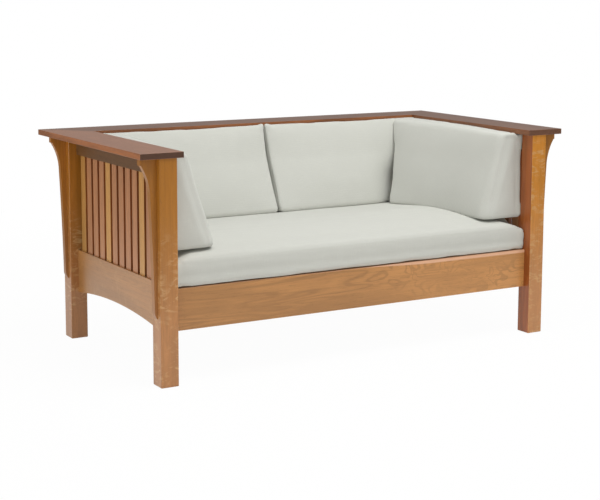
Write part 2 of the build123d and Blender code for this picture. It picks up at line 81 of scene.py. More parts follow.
def length(name, description, millimetres):
    return FloatProperty(
        name=name, description=description, subtype="DISTANCE", unit="LENGTH", min=0,
        precision=4, default=millimetres * MM,
    )


def angle(name, description, radians):
    return FloatProperty(name=name, description=description, subtype="ANGLE", default=radians)


class SettleWood(bpy.types.PropertyGroup):
    """Stain colours, colours of painted light and shade, and grain sizes of the oak frame and the
    plainer woods inside it.
    """

    cap_colour: colour("Cap colour", "Stained oak of the flat cap boards", "#865A40")
    post_colour: colour("Post colour", "Stained oak of the posts and corbels", "#B87E4A")
    # Painted shade: the posts and corbels turn darker and warmer near the caps, for the shade under
    # them
    warm_shade_colour: colour("Warm post colour", "The posts' stain near the caps", "#AE7020")
    rail_colour: colour("Rail colour", "Stained oak of the seat rails", "#B8824A")
    slat_colour: colour("Slat colour", "Stained oak of most slats", "#C38658")
    golden_colour: colour("Golden slat colour", "Stain on the paler, yellower slats", "#D89F54")
    deck_colour: colour("Deck colour", "Bare poplar of the seat deck and cleats", "#C9AE82")
    pin_colour: colour("Pin colour", "Bare birch of the dowels and splines", "#D2B98C")
    pore_width: length("Pore width", "Width at which the oak's pores are drawn", 2.2)
    pore_length: length("Pore length", "Length of the oak's pores along the grain", 26)
    fleck_width: length("Fleck width", "Width of a ray mark across the grain", 42)
    fleck_spacing: length("Fleck spacing", "Spacing of the ray marks along the grain", 20)
    fleck_colour: colour("Fleck colour", "Pale ray marks across the grain", "#D2A873")
    # Painted shade: the slats' narrow edges, for the shade in the gaps between them
    slat_edge_shade_colour: colour(
        "Slat edge colour", "Narrow edges of the slats, where the stain gathered", "#985222"
    )
    # Painted shade: the right posts' inner faces, darker and redder for the shade that lies on them
    inner_face_shade_colour: colour(
        "Inner face colour", "Inner faces of the right posts, under redder stain", "#9C5019"
    )
    # Painted highlight: the light that the caps' long edges catch
    cap_edge_highlight_colour: colour(
        "Cap edge colour", "Planed edges of the cap boards, which took less stain", "#AD6A3A"
    )
    # Painted highlight: light on the seat rail's top face and its top front edge
    rail_top_highlight_colour: colour(
        "Rail top colour", "Top of the seat rail, where the stain is thin", "#E2B08C"
    )


class SettleCushions(bpy.types.PropertyGroup):
    """Fabric colour, weave and stuffing of the cushions."""

    linen_colour: colour("Linen colour", "Pale grey-green linen of the cushions", "#C9CAC3")
    thread_spacing: length("Thread spacing", "Spacing at which the weave is drawn", 2.4)
    slub_length: length("Slub length", "Length of a thick stretch of yarn", 34)
    seat_voxel: length("Seat voxel", "Remesh size of the seat cushion", 10)
    wedge_voxel: length("Wedge voxel", "Remesh size of the back and arm cushions", 8)
    take_in: length("Take-in", "How much smaller a cushion starts before it is filled", 2)
    swell_limit: length("Swell limit", "Farthest that the filling moves the cloth", 12)
    seam_inset: length("Seam inset", "Distance of a seam from the panel beside it", 9)
    seam_depth: length("Seam depth", "How far a seam is drawn in", 0.7)
    seam_width: length("Seam width", "Half the width of the furrow along a seam", 4)
    arm_round: length("Arm cushion rounding", "Radius of the arm cushions' front inner edges", 45)
    seat_setback: length("Seat set back", "Bare strip of the rail in front of the seat's right end", 4)
    seat_crown: length("Seat crown", "How much higher the seat cushion is in its middle", 15)
    arm_turn: length("Arm turn", "How far the rear of an arm cushion's face comes in", 62)
    cap_rise: length("Rise before caps", "How far a cushion stands up in front of a cap's edge", 19)
    soft_gap: length("Soft gap", "Clearance of a cushion from what it touches", 0.6)
    back_lean: angle("Back lean", "How far a back cushion's face leans back", 0.4299)
    arm_lean: angle("Arm lean", "How far an arm cushion's face leans out", 0.3148)
    pressure: FloatProperty(
        name="Pressure", description="Filling pressure on the cloth", min=0, default=4
    )
    fill_frames: IntProperty(
        name="Frames", description="Frames that the filling runs for", min=2, default=20
    )


class SettleStage(bpy.types.PropertyGroup):
    """Camera, lamps and floor."""

    camera_place: FloatVectorProperty(
        name="Camera place", description="Where the camera stands", subtype="TRANSLATION", size=3,
        default=(-2.60363, -4.38168, 1.23879),
    )
    camera_turn: angle("Camera turn", "Camera's turn to the right of +Y", 0.534776)
    camera_dip: angle("Camera dip", "Camera's dip below the horizon", 0.140521)
    camera_roll: angle("Camera roll", "Camera's roll about its view", 0.003551)
    focal_length: FloatProperty(
        name="Focal length", description="Lens in millimetres on a 36 mm sensor", default=86.59
    )
    shift_y: FloatProperty(
        name="Shift Y", description="Lens shift down, as the photograph was cropped", default=-0.1
    )
    floor_radius: length("Floor radius", "Radius of the pale studio floor", 20000)
    floor_colour: colour("Floor colour", "Pale paint of the studio floor", "#F2F2F0")


def add_node(tree, kind, inputs=None, **settings):
    """Adds a shader node, sets its properties, and fills or links its inputs by name or number."""
    node = tree.nodes.new(f"ShaderNode{kind}")
    for name, value in settings.items():
        setattr(node, name, value)
    for socket, value in (inputs or {}).items():
        if isinstance(value, bpy.types.NodeSocket):
            tree.links.new(value, node.inputs[socket])
        else:
            node.inputs[socket].default_value = value
    return node


def new_material(name):
    """An empty material with its node tree and its object coordinates in metres."""
    material = bpy.data.materials.new(name)
    material.use_nodes = True
    tree = material.node_tree
    tree.nodes.clear()
    place = add_node(tree, "TexCoord").outputs["Object"]
    return material, tree, place


def finish_material(tree, shader):
    add_node(tree, "OutputMaterial", {"Surface": shader.outputs[0]})


def mixed(tree, factor, first, second, blend="MIX"):
    """The colour between two colours at a factor, each a value or a socket."""
    node = add_node(
        tree, "Mix", {0: factor, 6: first, 7: second}, data_type="RGBA", blend_type=blend
    )
    return node.outputs[2]


def computed(tree, operation, first, second=0.0):
    node = add_node(tree, "Math", {0: first, 1: second}, operation=operation)
    return node.outputs[0]


def times(tree, first, second):
    return computed(tree, "MULTIPLY", first, second)


def between(tree, value, low, high):
    """0 below low, 1 above high, smooth between."""
    node = add_node(
        tree, "MapRange", {"Value": value, "From Min": low, "From Max": high},
        interpolation_type="SMOOTHSTEP",
    )
    return node.outputs[0]


def stretched(tree, place, sizes, turn=(0, 0, 0)):
    """Coordinates in which one unit is the given size in metres along each axis."""
    node = add_node(
        tree, "Mapping", {"Vector": place, "Rotation": turn, "Scale": sizes},
        vector_type="TEXTURE",
    )
    return node.outputs[0]


def noise(tree, vector, detail=2.0, roughness=0.5, distortion=0.0):
    node = add_node(
        tree, "TexNoise",
        {
            "Vector": vector, "Scale": 1.0, "Detail": detail, "Roughness": roughness,
            "Distortion": distortion,
        },
    )
    return node.outputs[0]


def tinted(rgb, amount):
    """A colour made lighter or darker."""
    return tuple(part * amount for part in rgb)


def shade(rgb, amount):
    """A colour made lighter or darker, with alpha, for a colour socket."""
    return (*[min(part, 1.0) for part in tinted(rgb, amount)], 1.0)


# How a board lies: the turn that takes local Z to the way of its grain, and that way
GRAIN_TURN = {"X": (0, math.pi / 2, 0), "Y": (-math.pi / 2, 0, 0), "Z": (0, 0, 0)}
GRAIN_WAY = {"X": (1, 0, 0), "Y": (0, 1, 0), "Z": (0, 0, 1)}


def oak(name, rgb, grain, fleck=0.0, fleck_top=2.0, figure=0.3, wild_and_lit=None, gloss=0.42, ring=5 * MM,
        ends=0.7, shaded_warm=None, edge=None, highlight_strip=None):
    """Quarter-sawn oak under brown stain and satin varnish, sawn and scraped smooth.

    The eye sees growth lines along the grain, flowing figure, short dark pores, soft pale ray
    marks that wave across the grain, slow changes of tone, and end grain that drank more stain.
    fleck is how strong the ray marks are, and fleck_top the height above which they fade. figure
    is how strong the rings show, wild_and_lit where along X they turn into swirls and where the wood
    is also painted lighter for the stronger light on that side, and ring their spacing. gloss is the
    roughness, ends how dark the end grain is, and shaded_warm the colour painted near the caps as
    shade under them. edge is a facing and the colour painted on the faces that look that way for the
    light or shade on them, and highlight_strip is where along X a pale highlight is painted along the
    top front edge, and how high that edge is.
    """
    wood = bpy.context.scene.settle_wood
    material, tree, place = new_material(name)
    turn = GRAIN_TURN[grain]
    # How strongly the growth lines and the pores show
    streak = 0.3
    ways = add_node(tree, "SeparateXYZ", {0: place}).outputs
    normal = add_node(tree, "NewGeometry").outputs["True Normal"]

    def facing(way):
        turned = add_node(tree, "VectorMath", {0: normal, 1: way}, operation="DOT_PRODUCT")
        return between(tree, computed(tree, "ABSOLUTE", turned.outputs["Value"]), 0.75, 0.95)

    # Slow tone changes along the board
    tone = noise(tree, stretched(tree, place, (0.06, 0.06, 0.5), turn), 3, 0.55, 0.4)
    # Growth lines, wavering a little
    lines = noise(tree, stretched(tree, place, (5 * MM, 5 * MM, 0.25), turn), 3, 0.65, 0.5)
    # Growth rings cut at a low angle: level lines of a slow wave through the board
    wave = noise(tree, stretched(tree, place, (0.05, 0.05, 0.55), turn), 1.5, 0.45, 0.3)
    if wild_and_lit is not None:
        swirl = noise(tree, stretched(tree, place, (0.05, 0.05, 0.085), turn), 1.5, 0.45, 0.8)
        share = between(tree, ways[0], *wild_and_lit)
        added = times(tree, computed(tree, "SUBTRACT", swirl, wave), share)
        wave = computed(tree, "ADD", added, wave)
    rings = computed(tree, "SINE", times(tree, wave, 2 * math.pi * 0.06 / ring))
    shown = times(tree, between(tree, tone, 0.35, 0.6), figure)
    # Ray marks in patches. Real ones are under 2 mm across and are drawn wider to show.
    wide = wood.fleck_width
    ray = noise(tree, stretched(tree, place, (wide, wide, wood.fleck_spacing), turn), 2, 0.5, 1.6)
    patch = noise(tree, stretched(tree, place, (0.06, 0.06, 0.12), turn), 1.5)
    flecks = times(tree, between(tree, ray, 0.48, 0.68), between(tree, patch, 0.36, 0.56))
    low_enough = between(tree, ways[2], fleck_top + 120 * MM, fleck_top - 80 * MM)
    flecks = times(tree, flecks, low_enough)
    # Pores are 0.3 mm wide on real oak, and are drawn wider so that they show
    thin = wood.pore_width
    pores = noise(tree, stretched(tree, place, (thin, thin, wood.pore_length), turn), 2, 0.7)
    pores = between(tree, pores, 0.56, 0.72)

    light, dark, deep = shade(rgb, 1.1), shade(rgb, 0.88), shade(rgb, 0.62)
    # Painted shade: the colour turns darker and warmer towards the caps, for the shade under them
    if shaded_warm is not None:
        rise = between(tree, ways[2], 0.12, 0.6)
        light = mixed(tree, rise, light, shade(shaded_warm, 1.1))
        dark = mixed(tree, rise, dark, shade(shaded_warm, 0.88))
        deep = mixed(tree, rise, deep, shade(shaded_warm, 0.62))
    # Painted light: where the figure swirls, the wood is also painted lighter, for the stronger light
    # on that side
    if wild_and_lit is not None:
        light = mixed(tree, share, light, shade(rgb, 1.45))
        dark = mixed(tree, share, dark, shade(rgb, 1.12))
    ground = mixed(tree, between(tree, tone, 0.3, 0.7), dark, light)
    ground = mixed(tree, times(tree, flecks, fleck), ground, shade(wood.fleck_colour, 1.0))
    # Painted light and shade: faces that look one way take a colour of their own for the light or shade
    # on them, a painted highlight on the cap edges and the seat rail's top, painted shade on the slats'
    # narrow edges and the right posts' inner faces
    if edge is not None:
        painted_face = mixed(tree, between(tree, tone, 0.38, 0.62), shade(edge[1], 0.75), shade(edge[1], 1.15))
        ground = mixed(tree, facing(edge[0]), ground, painted_face)
    ground = mixed(tree, times(tree, between(tree, rings, 0.2, 1.0), shown), ground, deep)
    pale = times(tree, between(tree, rings, -0.3, -1.0), shown)
    ground = mixed(tree, times(tree, pale, 0.7), ground, shade(rgb, 1.35))
    ground = mixed(tree, times(tree, between(tree, lines, 0.4, 0.75), streak), ground, deep)
    ground = mixed(tree, times(tree, pores, streak), ground, shade(rgb, 0.4))
    ground = mixed(tree, times(tree, facing(GRAIN_WAY[grain]), ends), ground, shade(rgb, 0.2))
    if highlight_strip is not None:
        # Painted highlight: a pale strip along the top front edge, which grows to this height along X
        strip = 10.5 * MM
        highlit = times(tree, between(tree, ways[0], highlight_strip[0], highlight_strip[1]), strip)
        highlit = computed(tree, "ADD", ways[2], highlit)
        highlit = between(tree, highlit, highlight_strip[2] + 0.2 * MM, highlight_strip[2] + 1.6 * MM)
        ground = mixed(tree, highlit, ground, shade(wood.rail_top_highlight_colour, 1.0))

    height = computed(tree, "SUBTRACT", times(tree, lines, 0.3), pores)
    bump = add_node(tree, "Bump", {"Height": height, "Strength": 0.12, "Distance": 0.4 * MM})
    rough = computed(tree, "MULTIPLY_ADD", pores, 0.12)
    rough.node.inputs[2].default_value = gloss
    shader = add_node(
        tree, "BsdfPrincipled",
        {
            "Base Color": ground, "Roughness": rough, "IOR": 1.5, "Normal": bump.outputs[0],
            "Coat Weight": 0.25, "Coat Roughness": 0.3,
        },
    )
    finish_material(tree, shader)
    return material


def bare_wood(name, rgb, grain):
    """Poplar or birch, planed and left unfinished: matt, pale and quietly streaked."""
    material, tree, place = new_material(name)
    turn = GRAIN_TURN[grain]
    tone = noise(tree, stretched(tree, place, (0.03, 0.03, 0.4), turn), 3)
    lines = noise(tree, stretched(tree, place, (0.003, 0.003, 0.15), turn), 2, 0.6)
    ground = mixed(tree, between(tree, tone, 0.3, 0.7), shade(rgb, 0.88), shade(rgb, 1.06))
    ground = mixed(tree, between(tree, lines, 0.5, 0.8), ground, shade(rgb, 0.72))
    bump = add_node(tree, "Bump", {"Height": lines, "Strength": 0.15, "Distance": 0.3 * MM})
    shader = add_node(
        tree, "BsdfPrincipled",
        {"Base Color": ground, "Roughness": 0.72, "IOR": 1.5, "Normal": bump.outputs[0]},
    )
    finish_material(tree, shader)
    return material


def zinc_steel(name):
    """Zinc plated steel, rolled and bright dipped: grey, slightly mottled, half glossy."""
    material, tree, place = new_material(name)
    mottle = noise(tree, stretched(tree, place, (0.002, 0.002, 0.002)), 3)
    tint = mixed(tree, mottle, shade(linear("#A9ADAE"), 0.8), shade(linear("#C9CCCB"), 1.0))
    rough = between(tree, mottle, -0.6, 1.8)
    shader = add_node(
        tree, "BsdfPrincipled", {"Base Color": tint, "Metallic": 1.0, "Roughness": rough}
    )
    finish_material(tree, shader)
    return material


def linen(name):
    """Plain woven linen and cotton in pale grey green: matt, softly lit at its edges, with slubs.

    Real threads are 0.5 mm apart. They are drawn wider so that the weave shows.
    """
    cloth = bpy.context.scene.settle_cushions
    material, tree, place = new_material(name)
    rgb = tuple(cloth.linen_colour)
    spacing = cloth.thread_spacing
    # A band texture of scale 1 repeats every 0.314159 units
    bands = 0.314159 / spacing
    waves = [
        add_node(
            tree, "TexWave",
            {"Vector": place, "Scale": bands, "Distortion": 1.2, "Detail": 1.0, "Detail Scale": 60.0},
            wave_type="BANDS", bands_direction=axis,
        ).outputs[1]
        for axis in "XYZ"
    ]
    weave = computed(
        tree, "ADD", times(tree, waves[0], waves[1]),
        times(tree, waves[2], computed(tree, "ADD", waves[0], waves[1])),
    )
    thin = spacing * 0.8
    slub_x = noise(tree, stretched(tree, place, (cloth.slub_length, thin, thin)), 2, 0.6)
    slub_z = noise(tree, stretched(tree, place, (thin, thin, cloth.slub_length)), 2, 0.6)
    slubs = computed(tree, "ADD", slub_x, slub_z)
    mottle = noise(tree, stretched(tree, place, (0.05, 0.05, 0.05)), 4, 0.6)
    ground = mixed(tree, between(tree, slubs, 0.7, 1.35), shade(rgb, 0.96), shade(rgb, 1.04))
    ground = mixed(tree, between(tree, mottle, 0.3, 0.7), ground, shade(rgb, 0.985))
    ground = mixed(tree, times(tree, weave, 0.10), ground, shade(rgb, 0.8))
    height = computed(tree, "ADD", times(tree, weave, 0.5), slubs)
    bump = add_node(tree, "Bump", {"Height": height, "Strength": 0.25, "Distance": 0.6 * MM})
    shader = add_node(
        tree, "BsdfPrincipled",
        {
            "Base Color": ground, "Roughness": 0.92, "IOR": 1.45, "Specular IOR Level": 0.25,
            "Normal": bump.outputs[0], "Sheen Weight": 0.15, "Sheen Roughness": 0.5,
        },
    )
    finish_material(tree, shader)
    return material


def dress(names, material):
    """Gives CAD nodes a finished material."""
    for name in names:
        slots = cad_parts[name].data.materials
        slots.clear()
        slots.append(material)


def both(*names):
    return [f"{side}_{name}" for name in names for side in SIDES]


# Soft pieces
def evaluated_mesh(piece):
    """The piece's mesh with its modifiers applied."""
    graph = bpy.context.evaluated_depsgraph_get()
    return bpy.data.meshes.new_from_object(piece.evaluated_get(graph), depsgraph=graph)


def bake_modifiers(piece):
    mesh = evaluated_mesh(piece)
    piece.modifiers.clear()
    old = piece.data
    piece.data = mesh
    bpy.data.meshes.remove(old)


def points_of(piece):
    places = np.empty(len(piece.data.vertices) * 3)
    piece.data.vertices.foreach_get("co", places)
    return places.reshape(-1, 3)


def set_points(piece, places):
    piece.data.vertices.foreach_set("co", places.ravel())
    piece.data.update()


def cushion_blank(node, name, voxel, take_in):
    """A copy of a cushion's solid, with an even mesh, drawn in before it is filled."""
    piece = bpy.data.objects.new(name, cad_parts[node].data.copy())
    bpy.context.collection.objects.link(piece)
    cloth = bmesh.new()
    cloth.from_mesh(piece.data)
    bmesh.ops.remove_doubles(cloth, verts=cloth.verts, dist=0.05 * MM)
    bmesh.ops.recalc_face_normals(cloth, faces=cloth.faces)
    cloth.to_mesh(piece.data)
    cloth.free()
    remesh = piece.modifiers.new("even_mesh", "REMESH")
    remesh.mode = "VOXEL"
    remesh.voxel_size = voxel
    soften = piece.modifiers.new("soften", "SMOOTH")
    soften.factor = 0.5
    soften.iterations = 2
    draw_in = piece.modifiers.new("draw_in", "DISPLACE")
    draw_in.mid_level = 0
    draw_in.strength = -take_in
    bake_modifiers(piece)
    return piece


def held_at_seams(piece, panels):
    """1 where the mesh turns from one panel to the next, 0 in the middle of a panel."""
    normals = np.empty(len(piece.data.vertices) * 3)
    piece.data.vertices.foreach_get("normal", normals)
    along = np.abs(normals.reshape(-1, 3) @ np.array(panels).T).max(axis=1)
    return np.clip((0.985 - along) / 0.06, 0, 1)


def fill(piece, held):
    """Fills the cloth under pressure. held is how firmly each point stays, from 0 to 1."""
    cloth = bpy.context.scene.settle_cushions
    start = points_of(piece)
    group = piece.vertex_groups.new(name="held")
    for index in np.nonzero(held > 0)[0]:
        group.add([int(index)], float(held[index]), "REPLACE")
    filling = piece.modifiers.new("filling", "CLOTH")
    settings = filling.settings
    settings.quality = 6
    settings.mass = 0.3
    settings.tension_stiffness = 30
    settings.compression_stiffness = 20
    settings.shear_stiffness = 12
    settings.bending_stiffness = 2
    settings.use_pressure = True
    settings.uniform_pressure_force = cloth.pressure
    settings.vertex_group_mass = "held"
    settings.effector_weights.gravity = 0
    scene = bpy.context.scene
    for number in range(1, cloth.fill_frames + 1):
        scene.frame_set(number)
    mesh = evaluated_mesh(piece)
    ended = np.empty(len(mesh.vertices) * 3)
    mesh.vertices.foreach_get("co", ended)
    bpy.data.meshes.remove(mesh)
    piece.modifiers.clear()
    piece.vertex_groups.clear()
    scene.frame_set(1)
    moved = ended.reshape(-1, 3) - start
    far = np.maximum(np.linalg.norm(moved, axis=1, keepdims=True), 1e-9)
    limit = cloth.swell_limit
    set_points(piece, start + moved * limit * (1 - np.exp(-far / limit)) / far)


def refine(piece):
    finer = piece.modifiers.new("finer", "SUBSURF")
    finer.levels = 1
    finer.render_levels = 1
    bake_modifiers(piece)


def filled_wedge(node, face, to_heel):
    """A back or arm cushion's cloth, filled while its base and its heel are held.

    face is the way that its leaning panel faces, and to_heel gives each point's distance from
    the heel.
    """
    cloth = bpy.context.scene.settle_cushions
    piece = cushion_blank(node, f"{node}_cover", cloth.wedge_voxel, cloth.take_in)
    held = held_at_seams(piece, [(1, 0, 0), (0, 1, 0), (0, 0, 1), face])
    places = points_of(piece)
    base = (places[:, 2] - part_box(node)[0].z) / HELD_BASE
    heel = to_heel(places) / HELD_HEEL
    fill(piece, np.clip(np.maximum(held, 1 - np.minimum(base, heel)), 0, 1))
    refine(piece)
    return piece


def sew(piece, seams):
    """Draws the cloth in along each seam. A seam is a plane, as a point and a direction."""
    cloth = bpy.context.scene.settle_cushions
    sewn = bmesh.new()
    sewn.from_mesh(piece.data)
    for point, across in seams:
        for step in (-1, -0.5, 0, 0.5, 1):
            bmesh.ops.bisect_plane(
                sewn, geom=sewn.verts[:] + sewn.edges[:] + sewn.faces[:], dist=0.3 * MM,
                plane_co=Vector(point) + step * cloth.seam_width * Vector(across), plane_no=across,
            )
    sewn.normal_update()
    inward = []
    for vert in sewn.verts:
        offs = [abs((vert.co - Vector(point)).dot(across)) for point, across in seams]
        near = 1 - min(offs) / cloth.seam_width
        if near > 0:
            inward.append((vert, vert.normal * cloth.seam_depth * near ** 1.5))
    for vert, draw in inward:
        vert.co -= draw
    sewn.to_mesh(piece.data)
    sewn.free()


def settled(places, size):
    """The small hollows and swells that foam keeps after it has been sat on."""
    # Without a seed the noise would be another one on each run
    seed_set(29)
    for place in places:
        point = Vector(place)
        lift = noise_vector(point * 9) * 0.7 + noise_vector(point * 21 + Vector((5, 2, 9))) * 0.3
        place += np.array(lift) * size
    return places


def pressed_flat(places, axis, level, reach=14 * MM):
    """Draws the points near a level towards it, where the cushion rests on something."""
    off = places[:, axis] - level
    share = np.clip(1 - np.abs(off) / reach, 0, 1) ** 2
    places[:, axis] -= off * share
    return places


def squared(places, first, second, size, power=6):
    """Squares a cushion's rounded edge where two planes meet.

    A plane is an axis, its level on that axis, and the way that it faces, 1 or -1. A higher
    power leaves a sharper edge.
    """
    shares = []
    for axis, level, way in (first, second):
        shares.append(1 - (level - places[:, axis]) * way / size)
    inside = (shares[0] > 0) & (shares[1] > 0)
    shares = [np.maximum(share, 1e-6) for share in shares]
    grow = np.hypot(*shares) / (shares[0] ** power + shares[1] ** power) ** (1 / power)
    for (axis, level, way), share in zip((first, second), shares):
        moved = level - way * size * (1 - np.minimum(share * grow, 1))
        places[:, axis] = np.where(inside, moved, places[:, axis])
    return places


def smooth_step(value, low, high):
    share = np.clip((value - low) / (high - low), 0, 1)
    return share * share * (3 - 2 * share)


def stood_before_cap(places, depth, edge, forward, rise):
    """Squeezes the top of a wedge up in front of a cap's edge, and keeps the rest under it.

    depth is each point's distance towards the heel, and edge is the cap's edge on that line.
    forward moves points away from the cap's edge, and rise lifts them. All are in metres.
    """
    cloth = bpy.context.scene.settle_cushions
    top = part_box("left_back_cushion")[1].z
    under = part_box("back_cap")[0].z - cloth.soft_gap
    high = smooth_step(places[:, 2], top - 120 * MM, top - 6 * MM)
    depth -= forward * high * smooth_step(edge + 22 * MM - depth, 0, 16 * MM)
    front = smooth_step(edge - depth, 0.5 * MM, 7 * MM)
    places[:, 2] += rise * high * front
    blocked = depth > edge - cloth.soft_gap
    places[:, 2] = np.where(blocked, np.minimum(places[:, 2], under), places[:, 2])
    return places, depth


def surface_of(piece):
    return BVHTree.FromObject(piece, bpy.context.evaluated_depsgraph_get())


def kept_clear(places, surface, direction, gap):
    """Moves points that have passed a surface back to it. direction points into the surface."""
    axis = int(np.argmax(np.abs(direction)))
    way = Vector(direction)
    for place in places:
        start = Vector(place)
        start[axis] = -direction[axis]
        found = surface.ray_cast(start, way)[0]
        if found is None:
            continue
        limit = found[axis] - gap * direction[axis]
        if (place[axis] - limit) * direction[axis] > 0:
            place[axis] = limit
    return places


def finish_cushion(piece, node):
    piece.data.polygons.foreach_set("use_smooth", [True] * len(piece.data.polygons))
    piece.data.set_sharp_from_angle(angle=math.radians(40))
    piece.data.materials.clear()
    piece.data.materials.append(bpy.data.materials["pale_linen"])
    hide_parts(node)
    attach(piece, "root")


class SettlePiece:
    """What every operator of this file shares."""

    bl_options = {"REGISTER", "UNDO"}


class SETTLE_OT_caps(SettlePiece, bpy.types.Operator):
    """Stains the three cap boards, with a painted highlight on their long edges"""

    bl_idname = "settle.caps"
    bl_label = "Cap Boards"

    def execute(self, context):
        wood = context.scene.settle_wood
        rgb, edge = tuple(wood.cap_colour), tuple(wood.cap_edge_highlight_colour)
        # Each board's lightness, grain, darkness of its ends, and its long edges' facing and the
        # lightness of the painted highlight on them
        for name, light, grain, ends, way, edge_highlight in (
            ("left_arm_cap", 1.25, "Y", 0.85, (1, 0, 0), 1.0),
            ("right_arm_cap", 0.72, "Y", 0.1, (1, 0, 0), 0.6),
            ("back_cap", 0.72, "X", 0.5, (0, 1, 0), 0.75),
        ):
            cap = oak(
                f"{name}_oak", tinted(rgb, light), grain, figure=0.25, gloss=0.45, ring=8 * MM,
                ends=ends, edge=(way, tinted(edge, edge_highlight)),
            )
            dress([name], cap)
        return {"FINISHED"}


class SETTLE_OT_posts(SettlePiece, bpy.types.Operator):
    """Stains the posts and their corbels, with painted shade near the caps and on the right posts'
    inner faces, and the right posts painted lighter
    """

    bl_idname = "settle.posts"
    bl_label = "Posts and Corbels"

    def execute(self, context):
        rgb = tuple(context.scene.settle_wood.post_colour)
        shaded_warm = tuple(context.scene.settle_wood.warm_shade_colour)
        # Painted shade on the right posts' inner faces, which face into the shaded seat
        inside = ((1, 0, 0), tuple(context.scene.settle_wood.inner_face_shade_colour))
        # How light a side's posts are near the caps, the right ones painted lighter for the stronger
        # light on that side, how strong and how high their ray marks, and the painted shade on their
        # inner faces
        for side, bright, fleck, fleck_top, edge in (
            ("left", 1.05, 0.75, 0.42, None),
            ("right", 1.45, 0.7, 0.75, inside),
        ):
            post = oak(
                f"{side}_post_oak", tinted(rgb, 0.75 + bright / 4), "Z", fleck=fleck,
                fleck_top=fleck_top, figure=0.15, gloss=0.32, shaded_warm=tinted(shaded_warm, bright), edge=edge,
            )
            dress([f"{side}_front_post", f"{side}_back_post"], post)
        corbel = oak("corbel_oak", tinted(rgb, 0.85), "Z", figure=0.25, shaded_warm=shaded_warm)
        dress(both("front_corbel", "back_corbel"), corbel)
        return {"FINISHED"}


class SETTLE_OT_rails(SettlePiece, bpy.types.Operator):
    """Stains the rails, with painted light on the seat rail's top and right end, and painted shade on
    the upper side rails
    """

    bl_idname = "settle.rails"
    bl_label = "Rails"

    def execute(self, context):
        wood = context.scene.settle_wood
        rgb = tuple(wood.rail_colour)
        # Painted highlight: the seat rail's top face, and a pale strip along its top front edge towards
        # the right
        top = ((0, 0, 1), tuple(wood.rail_top_highlight_colour))
        # Painted light: the seat rail is painted lighter towards its right end, where its figure
        # swirls, for the stronger light on that side
        rail = oak(
            "seat_rail_oak", tinted(rgb, 0.96), "X", figure=0.42, wild_and_lit=(-0.1, 0.35), ring=8 * MM,
            edge=top, highlight_strip=(-0.05, 0.3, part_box("front_seat_rail")[1].z),
        )
        dress(["front_seat_rail"], rail)
        dress(["back_lower_rail", "back_upper_rail"], oak("back_rail_oak", rgb, "X"))
        side_oak = oak("side_rail_oak", rgb, "Y", fleck=0.2, figure=0.15, gloss=0.32)
        dress(both("lower_side_rail"), side_oak)
        shadowed = oak("upper_rail_oak", tinted(rgb, 0.38), "Y", figure=0.15)
        dress(both("upper_side_rail"), shadowed)
        return {"FINISHED"}


class SETTLE_OT_slats(SettlePiece, bpy.types.Operator):
    """Stains the slats, some of them more golden, with painted shade on their narrow edges"""

    bl_idname = "settle.slats"
    bl_label = "Slats"

    # Slats of another stain than brown, numbered from the front
    other_stains = {3: "golden", 8: "golden", 12: "dull"}

    def execute(self, context):
        wood = context.scene.settle_wood
        # Painted shade on the slats' narrow edges, towards the shaded gaps
        shaded_edges = ((0, 1, 0), tuple(wood.slat_edge_shade_colour))
        stains = {
            name: oak(f"slat_oak_{name}", rgb, "Z", figure=0.25, edge=shaded_edges)
            for name, rgb in (
                ("brown", tuple(wood.slat_colour)),
                ("golden", tuple(wood.golden_colour)),
                ("dull", tinted(wood.golden_colour, 0.76)),
            )
        }
        dress(["back_slats"], stains["brown"])
        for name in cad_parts:
            if "_slat_" in name:
                dress([name], stains[self.other_stains.get(int(name[-2:]), "brown")])
        return {"FINISHED"}


class SETTLE_OT_deck(SettlePiece, bpy.types.Operator):
    """Finishes the seat deck, its cleats, and the dowels, splines and screws"""

    bl_idname = "settle.deck"
    bl_label = "Seat Deck and Fixings"

    def execute(self, context):
        wood = context.scene.settle_wood
        rgb = tuple(wood.deck_colour)
        long_boards = ["deck_front_rail", "deck_back_rail", "front_cleat", "back_cleat"]
        dress(long_boards, bare_wood("poplar_long", rgb, "X"))
        dress(["deck_slats", *both("deck_end", "cleat")], bare_wood("poplar_across", rgb, "Y"))
        dress(["corbel_dowels", "cap_splines"], bare_wood("birch", tuple(wood.pin_colour), "X"))
        dress(["wood_screws"], zinc_steel("zinc_plated_steel"))
        return {"FINISHED"}


